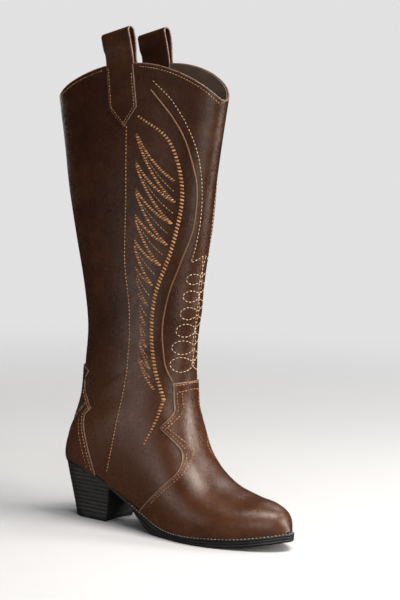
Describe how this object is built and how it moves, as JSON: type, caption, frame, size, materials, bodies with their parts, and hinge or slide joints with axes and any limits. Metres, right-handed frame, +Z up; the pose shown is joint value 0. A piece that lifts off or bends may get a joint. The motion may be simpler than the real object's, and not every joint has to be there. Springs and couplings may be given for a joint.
{
  "type": "cowboy boot",
  "caption": "Knee-high western pull-on boot with stitched shaft, scalloped collar, pull loops, welted sole and stacked block heel.",
  "frame": {"origin": "bottom centre of the whole boot's bounding box, on the ground under the instep", "axes": "+X towards the toe, +Y towards the inner side of the foot, +Z up"},
  "size_m": [0.2904, 0.0874, 0.4824],
  "materials": {
    "shaft_leather": "smooth waxed dark brown leather, semi-gloss",
    "vamp_leather": "smooth burnished brown leather, glossier over the toe",
    "lining_leather": "matt undyed pigskin lining",
    "piping": "thin tan leather cord, satin",
    "thread": "tan and cream polyester sewing thread",
    "fibreboard": "matt compressed leather board",
    "cork": "matt ground cork filling",
    "steel": "plain steel",
    "welt_rubber": "black, satin, stitched in cream",
    "sole_rubber": "matt black rubber",
    "heel_stack": "stacked lifts, edge-dyed black, satin"
  },
  "bodies": {
    "boot": {"shaft_front": "shaft_leather", "shaft_back": "shaft_leather", "vamp": "vamp_leather", "heel_counter": "shaft_leather", "toe_puff": "fibreboard", "heel_stiffener": "fibreboard", "lining_front": "lining_leather", "lining_back": "lining_leather", "vamp_lining": "lining_leather", "strap_tail_outer_outside": "shaft_leather", "strap_tail_outer_inside": "shaft_leather", "strap_tail_inner_outside": "shaft_leather", "strap_tail_inner_inside": "shaft_leather", "piping_outer": "piping", "piping_inner": "piping", "insole_board": "fibreboard", "sock_liner": "lining_leather", "bottom_filler": "cork", "shank": "steel", "welt": "welt_rubber", "outsole": "sole_rubber", "heel_top_lift": "sole_rubber", "heel_screw": "steel", "heel_nail_1": "steel", "heel_nail_2": "steel", "heel_nail_3": "steel", "heel_nail_4": "steel", "heel_lift_01": "heel_stack", "heel_lift_02": "heel_stack", "heel_lift_03": "heel_stack", "heel_lift_04": "heel_stack", "heel_lift_05": "heel_stack", "heel_lift_06": "heel_stack", "heel_lift_07": "heel_stack", "heel_lift_08": "heel_stack", "heel_lift_09": "heel_stack", "heel_lift_10": "heel_stack", "heel_lift_11": "heel_stack", "heel_lift_12": "heel_stack", "heel_lift_13": "heel_stack"},
    "outer_loop": {"pull_loop_outer": "shaft_leather"},
    "inner_loop": {"pull_loop_inner": "shaft_leather"}
  },
  "joints": [
    {"name": "outer_loop_bend", "type": "hinge", "parent": "boot", "child": "outer_loop", "pos_m": [-0.0502, -0.02922, 0.4505], "axis": [1, 0, 0], "range_deg": [-35, 70], "stiffness_Nm_per_rad": 0.02},
    {"name": "inner_loop_bend", "type": "hinge", "parent": "boot", "child": "inner_loop", "pos_m": [-0.0502, 0.02729, 0.4505], "axis": [-1, 0, 0], "range_deg": [-35, 70], "stiffness_Nm_per_rad": 0.02}
  ]
}
